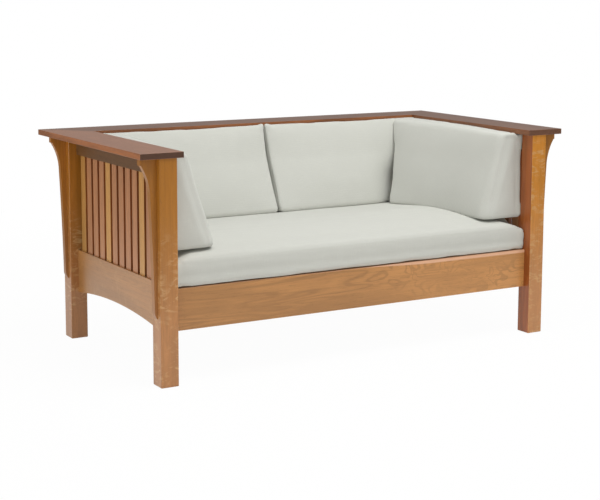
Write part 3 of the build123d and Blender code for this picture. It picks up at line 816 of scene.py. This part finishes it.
class SETTLE_OT_seat_cushion(SettlePiece, bpy.types.Operator):
    """Makes the seat cushion"""

    bl_idname = "settle.seat_cushion"
    bl_label = "Seat Cushion"

    # How far the cloth stands past the solid at the front and at the ends
    front_bulge, end_bulge = 0.5 * MM, 1.2 * MM
    # Sizes of the squared edges: wide and tight at the base, the front's ends, the top's ends
    base_edge, tight_edge, end_edge, top_edge = 40 * MM, 12 * MM, 32 * MM, 30 * MM
    # Powers that square an edge sharply, and hardly
    sharp, rounded = 16, 3.5
    # How deep the ends are pressed flat
    end_reach = 26 * MM
    # Where along X the set back front comes in, and between which depths it fades
    setback_span, setback_fade = (-0.2, 0.6), (10 * MM, 120 * MM)
    seam_height = 14 * MM
    # The top is measured this far in from its edges
    inset = 16 * MM
    # How far swells pass the level top, and how far under it the front corners may stay
    over_level, under_level = 4 * MM, 5 * MM
    # The crown's middle and its half width along Y, and where it starts and is full along X
    crown_middle, crown_half = -105 * MM, 265 * MM
    crown_start, crown_full = 690 * MM, 560 * MM
    # How far the cloth may pass the solid's sides, and its top
    side_room, top_room = 1.4 * MM, 40 * MM

    def execute(self, context):
        cloth = context.scene.settle_cushions
        linen("pale_linen")
        low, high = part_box("seat_cushion")
        piece = cushion_blank("seat_cushion", "seat_cushion_cover", cloth.seat_voxel, cloth.take_in)
        held = held_at_seams(piece, [(1, 0, 0), (0, 1, 0), (0, 0, 1)])
        raised = (points_of(piece)[:, 2] - low.z) / HELD_BASE
        fill(piece, np.clip(np.maximum(held, 1 - raised), 0, 1))
        refine(piece)
        self.sew_level(piece, low, high)
        places = settled(points_of(piece), HOLLOWS)
        places = pressed_flat(places, 2, low.z)
        front, base = (1, low.y - self.front_bulge, -1), (2, low.z, -1)
        places = squared(places, front, base, self.base_edge, self.sharp)
        places = squared(places, front, base, self.tight_edge, self.sharp)
        for end in ((0, low.x - self.end_bulge, -1), (0, high.x + self.end_bulge, 1)):
            places = pressed_flat(places, 0, end[1], self.end_reach)
            places = squared(places, front, end, self.end_edge)
            places = squared(places, base, end, self.base_edge, self.sharp)
        # The front leaves a strip of the rail bare towards the right
        back_by = cloth.seat_setback * smooth_step(places[:, 0], *self.setback_span)
        near, far = (-(low.y + fade) for fade in self.setback_fade)
        places[:, 1] += back_by * smooth_step(-places[:, 1], far, near)
        least = np.array(low) - (self.side_room, self.side_room, 0)
        most = np.array(high) + (self.side_room, -MM, self.top_room)
        places = np.clip(places, least, most)
        set_points(piece, places)
        finish_cushion(piece, "seat_cushion")
        return {"FINISHED"}

    def sew_level(self, piece, low, high):
        """Sews the seam on a levelled cushion, then gives its top the crown and the lowered corners."""
        cloth = bpy.context.scene.settle_cushions
        surface = surface_of(piece)

        def tops(places):
            heights = np.empty(len(places))
            for number, (x, y, z) in enumerate(places):
                x = min(max(x, low.x + self.inset), high.x - self.inset)
                y = min(max(y, low.y + self.inset), high.y - self.inset)
                heights[number] = surface.ray_cast(Vector((x, y, 1)), Vector((0, 0, -1)))[0].z
            return heights

        level = high.z
        places = points_of(piece)
        share = np.clip((places[:, 2] - low.z) / (tops(places) - low.z), 0, 1.2)
        places[:, 2] = low.z + share * (level - low.z)
        set_points(piece, places)
        sew(piece, [((0, 0, low.z + self.seam_height), (0, 0, 1))])
        places = points_of(piece)
        for end in ((0, low.x, -1), (0, high.x, 1)):
            places = squared(places, (2, level, 1), end, self.top_edge, self.rounded)
        share = (places[:, 2] - low.z) / (level - low.z)
        top = tops(places)
        over = np.maximum(top - level, 0)
        swollen = level + self.over_level * (1 - np.exp(-over / self.over_level))
        top = np.where(top > level, swollen, top)
        # The corners lie low at the front only
        behind = 0.35 + 0.65 * smooth_step(places[:, 1], low.y + 60 * MM, low.y + 120 * MM)
        sunk = level - self.under_level
        top += (sunk - top) * behind * (top < sunk)
        middle = np.clip((places[:, 1] - self.crown_middle) / self.crown_half, -1, 1)
        across = smooth_step(-np.abs(places[:, 0]), -self.crown_start, -self.crown_full)
        top += cloth.seat_crown * np.cos(middle * math.pi / 2) ** 2 * across
        places[:, 2] = low.z + share * (top - low.z)
        set_points(piece, places)


class SETTLE_OT_back_cushions(SettlePiece, bpy.types.Operator):
    """Makes the two back cushions"""

    bl_idname = "settle.back_cushions"
    bl_label = "Back Cushions"

    # How deep the cushions are pressed flat where they meet, and the squared edge there
    meeting_reach, meeting_edge = 12 * MM, 30 * MM
    # Where the outer end's bend starts along X, its span, and the share of the depth it takes
    bend_start, bend_span, bend_share = 380 * MM, 220 * MM, 0.7
    # How far under the top the bend starts, and is full
    bend_fade = (20 * MM, 230 * MM)
    # How far the top comes forward from the cap's edge
    forward = 9 * MM
    # How far the cloth may pass the solid
    room = (1.2 * MM, 14 * MM, TOP_ROOM)

    def execute(self, context):
        cloth = context.scene.settle_cushions
        seat = surface_of(bpy.data.objects["seat_cushion_cover"])
        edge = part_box("back_cap")[0].y
        face = Vector((0, -math.cos(cloth.back_lean), math.sin(cloth.back_lean)))
        for side in SIDES:
            node = f"{side}_back_cushion"
            low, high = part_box(node)
            piece = filled_wedge(node, face, lambda places: high.y - places[:, 1])
            toe = Vector((0, low.y, low.z)) - face * cloth.seam_inset
            sew(piece, [(toe, face)])
            places = settled(points_of(piece), HOLLOWS)
            places = pressed_flat(places, 2, low.z)
            places = pressed_flat(places, 1, high.y)
            meeting = (0, high.x, 1) if side == "left" else (0, low.x, -1)
            places = pressed_flat(places, 0, meeting[1], self.meeting_reach)
            places = squared(places, meeting, (2, high.z, 1), self.meeting_edge)
            outwards = np.clip((np.abs(places[:, 0]) - self.bend_start) / self.bend_span, 0, 1.3)
            start, full = (fade - high.z for fade in self.bend_fade)
            outwards *= smooth_step(-places[:, 2], start, full)
            places[:, 1] += (high.y - places[:, 1]) * self.bend_share * outwards ** 2
            places, depth = stood_before_cap(
                places, places[:, 1], edge, self.forward, cloth.cap_rise
            )
            places[:, 1] = depth
            room = np.array(self.room)
            least, most = np.array(low) - room * (1, 1, 0), np.array(high) + room * (1, 0, 1)
            places = np.clip(places, least, most)
            places = kept_clear(places, seat, (0, 0, -1), cloth.soft_gap)
            set_points(piece, places)
            finish_cushion(piece, node)
        return {"FINISHED"}


class SETTLE_OT_arm_cushions(SettlePiece, bpy.types.Operator):
    """Makes the two arm cushions"""

    bl_idname = "settle.arm_cushions"
    bl_label = "Arm Cushions"

    # How far the cloth stands past the solid at its front end and its top
    front_bulge, top_bulge = 4 * MM, MM
    # How deep the front end is pressed flat, and its squared edges
    front_reach, corner = 10 * MM, 24 * MM
    # The face's length along the foot, and how much longer it is along the top
    foot_run, top_run = 508 * MM, 130 * MM
    # How much more the foot comes in at the rear than the top
    foot_turn = 17 * MM
    # How much fuller the front is, and between which depths that fades
    fuller, fuller_fade = 16 * MM, (50 * MM, 250 * MM)
    # How far the top comes forward from the cap's edge
    forward = 2 * MM
    # Shares of the rise before the caps, with the least of it at the front
    rise_share, least_rise = 0.7, 0.6

    def execute(self, context):
        cloth = context.scene.settle_cushions
        seat = surface_of(bpy.data.objects["seat_cushion_cover"])
        edge = -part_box("left_arm_cap")[1].x
        for side, sign in zip(SIDES, (-1, 1)):
            node = f"{side}_arm_cushion"
            low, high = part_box(node)
            outer = max(abs(low.x), abs(high.x))
            inner = min(abs(low.x), abs(high.x))
            face = Vector((-sign * math.cos(cloth.arm_lean), 0, math.sin(cloth.arm_lean)))
            piece = filled_wedge(node, face, lambda places: outer - np.abs(places[:, 0]))
            places = settled(points_of(piece), HOLLOWS)
            places = pressed_flat(places, 2, low.z)
            places = pressed_flat(places, 0, sign * outer)
            end_y = low.y - self.front_bulge
            places = pressed_flat(places, 1, end_y, self.front_reach)
            heel, front, top = (0, sign * outer, sign), (1, end_y, -1), (2, high.z + self.top_bulge, 1)
            for first, second in ((heel, front), (top, front), (top, heel)):
                places = squared(places, first, second, self.corner)
            depth = sign * places[:, 0]
            climb = np.clip((places[:, 2] - low.z) / (high.z - low.z), 0, 1)
            face_x = inner + climb * (high.z - low.z) * math.tan(cloth.arm_lean)
            # Round the edge between the face and the front end
            size = cloth.arm_round
            along = 1 - (places[:, 1] - end_y) / size
            across = 1 - (depth - face_x) / size
            inside = (along > 0) & (across > 0)
            along, across = np.maximum(along, 1e-6), np.maximum(across, 1e-6)
            shrink = (along ** 4 + across ** 4) ** 0.25 / np.hypot(along, across)
            places[:, 1] = np.where(inside, end_y + size * (1 - along * shrink), places[:, 1])
            depth = np.where(inside, face_x + size * (1 - across * shrink), depth)
            forward = np.clip((outer - depth) / (outer - face_x), 0, 1)
            run = self.foot_run + self.top_run * climb
            turn = cloth.arm_turn + self.foot_turn * (1 - climb)
            depth -= turn * forward * (places[:, 1] - low.y) / run
            lifted = smooth_step(places[:, 1], low.y + 20 * MM, low.y + 300 * MM)
            lifted = self.least_rise + (1 - self.least_rise) * lifted
            fuller = self.fuller if side == "left" else self.fuller * climb
            depth -= fuller * forward * smooth_step(-places[:, 1], *self.fuller_fade)
            rise = cloth.cap_rise * self.rise_share * lifted
            places, depth = stood_before_cap(places, depth, edge, self.forward, rise)
            places[:, 0] = sign * np.minimum(depth, outer)
            room = np.array((cloth.arm_turn + 12 * MM, 4.2 * MM, TOP_ROOM))
            least, most = np.array(low) - room * (1, 1, 0), np.array(high) + room
            places = np.clip(places, least, most)
            places = kept_clear(places, seat, (0, 0, -1), cloth.soft_gap)
            back = surface_of(bpy.data.objects[f"{side}_back_cushion_cover"])
            places = kept_clear(places, back, (0, 1, 0), cloth.soft_gap)
            set_points(piece, places)
            finish_cushion(piece, node)
        return {"FINISHED"}


class SETTLE_OT_stage(SettlePiece, bpy.types.Operator):
    """Sets the floor, the lamps, the background and the camera"""

    bl_idname = "settle.stage"
    bl_label = "Stage"

    # How far from the middle the floor turns plain white, and its share of white before that
    white_span, white_share = (1.3, 3.2), 0.97
    # How far from the middle the floor turns dark to all but the camera, and how dark
    dark_span, dark = (1.5, 3.4), (0.15, 0.15, 0.15, 1)
    soft_strength = 0.5
    # What glossy surfaces see in front of the settle and behind it
    front_grey, rear_grey = (0.06, 0.06, 0.06, 1), (0.42, 0.42, 0.42, 1)

    def execute(self, context):
        stage = context.scene.settle_stage
        self.floor(stage)
        self.lamps(context)
        self.world(context.scene)
        self.camera(context, stage)
        context.scene.view_settings.view_transform = "Standard"
        return {"FINISHED"}

    def floor(self, stage):
        plain = bmesh.new()
        bmesh.ops.create_circle(plain, cap_ends=True, segments=64, radius=stage.floor_radius)
        mesh = bpy.data.meshes.new("studio_floor")
        plain.to_mesh(mesh)
        plain.free()
        floor = bpy.data.objects.new("studio_floor", mesh)
        bpy.context.collection.objects.link(floor)
        mesh.materials.append(self.floor_paint(stage))

    def floor_paint(self, stage):
        """Matt white studio paint: the camera sees it as white, darker only in the shadow."""
        material, tree, place = new_material("studio_floor_paint")
        mottle = noise(tree, stretched(tree, place, (0.4, 0.4, 0.4)), 2)
        rgb = tuple(stage.floor_colour)
        tint = mixed(tree, mottle, shade(rgb, 0.99), shade(rgb, 1.0))
        paint = add_node(tree, "BsdfDiffuse", {"Color": tint})
        reach = add_node(tree, "VectorMath", {0: place}, operation="LENGTH").outputs["Value"]
        white = (1, 1, 1, 1)
        dimmed = mixed(tree, between(tree, reach, *self.dark_span), white, self.dark)
        camera = add_node(tree, "LightPath").outputs["Is Camera Ray"]
        glow = add_node(tree, "Emission", {"Color": mixed(tree, camera, dimmed, white)})
        share = computed(
            tree, "MULTIPLY_ADD", between(tree, reach, *self.white_span), 1 - self.white_share
        )
        share.node.inputs[2].default_value = self.white_share
        seen = times(tree, self.seen_rays(tree), share)
        both_parts = add_node(
            tree, "MixShader", {0: seen, 1: paint.outputs[0], 2: glow.outputs[0]}
        )
        finish_material(tree, both_parts)
        return material

    def seen_rays(self, tree):
        """1 on the rays that show the background: camera, glossy and transmission rays."""
        path = add_node(tree, "LightPath").outputs
        shown = computed(tree, "MAXIMUM", path["Is Camera Ray"], path["Is Glossy Ray"])
        return computed(tree, "MAXIMUM", shown, path["Is Transmission Ray"])

    def world(self, scene):
        """Plain soft light, a white background, and a dim room in front for reflections."""
        world = bpy.data.worlds.new("studio")
        world.use_nodes = True
        tree = world.node_tree
        tree.nodes.clear()
        way = add_node(tree, "TexCoord").outputs["Generated"]
        depth = add_node(tree, "SeparateXYZ", {0: way}).outputs[1]
        path = add_node(tree, "LightPath").outputs
        backdrop = mixed(tree, between(tree, depth, -0.1, 0.7), self.front_grey, self.rear_grey)
        tint = mixed(tree, path["Is Glossy Ray"], (1, 1, 1, 1), backdrop)
        soft = add_node(
            tree, "Background", {"Color": (1, 1, 1, 1), "Strength": self.soft_strength}
        )
        white = add_node(tree, "Background", {"Color": tint, "Strength": 1.0})
        seen = self.seen_rays(tree)
        mix = add_node(tree, "MixShader", {0: seen, 1: soft.outputs[0], 2: white.outputs[0]})
        add_node(tree, "OutputWorld", {"Surface": mix.outputs[0]})
        scene.world = world

    def lamps(self, context):
        aim = Vector((0, 0, 0.4))
        for name, place, size, watts, rgb in (
            ("key", (0.3, -1.15, 3.65), 2.2, 92, (1.0, 0.995, 0.98)),
            ("fill", (-2.4, -4.2, 1.4), 3.0, 14, (1.0, 0.97, 0.93)),
            ("low_fill", (-3.6, -0.4, 0.6), 1.2, 14, (1.0, 0.96, 0.9)),
        ):
            data = bpy.data.lights.new(name, "AREA")
            data.shape = "SQUARE"
            data.size = size
            data.energy = watts
            data.color = rgb
            lamp = bpy.data.objects.new(name, data)
            lamp.location = place
            lamp.rotation_euler = (aim - Vector(place)).to_track_quat("-Z", "Y").to_euler()
            context.collection.objects.link(lamp)

    def camera(self, context, stage):
        data = bpy.data.cameras.new("photo_view")
        data.sensor_width = 36
        data.lens = stage.focal_length
        data.shift_y = stage.shift_y
        camera = bpy.data.objects.new("photo_view", data)
        turned = (
            Matrix.Rotation(-stage.camera_turn, 4, "Z")
            @ Matrix.Rotation(math.pi / 2 - stage.camera_dip, 4, "X")
            @ Matrix.Rotation(stage.camera_roll, 4, "Z")
        )
        camera.matrix_world = Matrix.Translation(stage.camera_place) @ turned
        context.collection.objects.link(camera)
        context.scene.camera = camera


class SETTLE_PT_panel(bpy.types.Panel):
    """Lists the settle's sizes, colours and pieces"""

    bl_idname = "SETTLE_PT_panel"
    bl_label = "Mission Settle"
    bl_space_type = "VIEW_3D"
    bl_region_type = "UI"
    bl_category = "Settle"

    def draw(self, context):
        for group_name in GROUPS:
            group = getattr(context.scene, group_name)
            box = self.layout.box()
            for name in group.bl_rna.properties.keys():
                if name not in ("rna_type", "name"):
                    box.prop(group, name)
        for operator in PIECES:
            self.layout.operator(operator.bl_idname)


GROUPS = {"settle_wood": SettleWood, "settle_cushions": SettleCushions, "settle_stage": SettleStage}
PIECES = (
    SETTLE_OT_caps,
    SETTLE_OT_posts,
    SETTLE_OT_rails,
    SETTLE_OT_slats,
    SETTLE_OT_deck,
    SETTLE_OT_seat_cushion,
    SETTLE_OT_back_cushions,
    SETTLE_OT_arm_cushions,
    SETTLE_OT_stage,
)


def register():
    for group in GROUPS.values():
        bpy.utils.register_class(group)
    for name, group in GROUPS.items():
        setattr(bpy.types.Scene, name, PointerProperty(type=group))
    for piece in (*PIECES, SETTLE_PT_panel):
        bpy.utils.register_class(piece)


def unregister():
    for piece in (SETTLE_PT_panel, *reversed(PIECES)):
        bpy.utils.unregister_class(piece)
    for name in GROUPS:
        delattr(bpy.types.Scene, name)
    for group in reversed(GROUPS.values()):
        bpy.utils.unregister_class(group)


def main():
    register()
    bpy.ops.settle.caps()
    bpy.ops.settle.posts()
    bpy.ops.settle.rails()
    bpy.ops.settle.slats()
    bpy.ops.settle.deck()
    # The seat comes first, then the back: each cushion is kept clear of the ones before it
    bpy.ops.settle.seat_cushion()
    bpy.ops.settle.back_cushions()
    bpy.ops.settle.arm_cushions()
    bpy.ops.settle.stage()


if __name__ == "__main__":
    main()
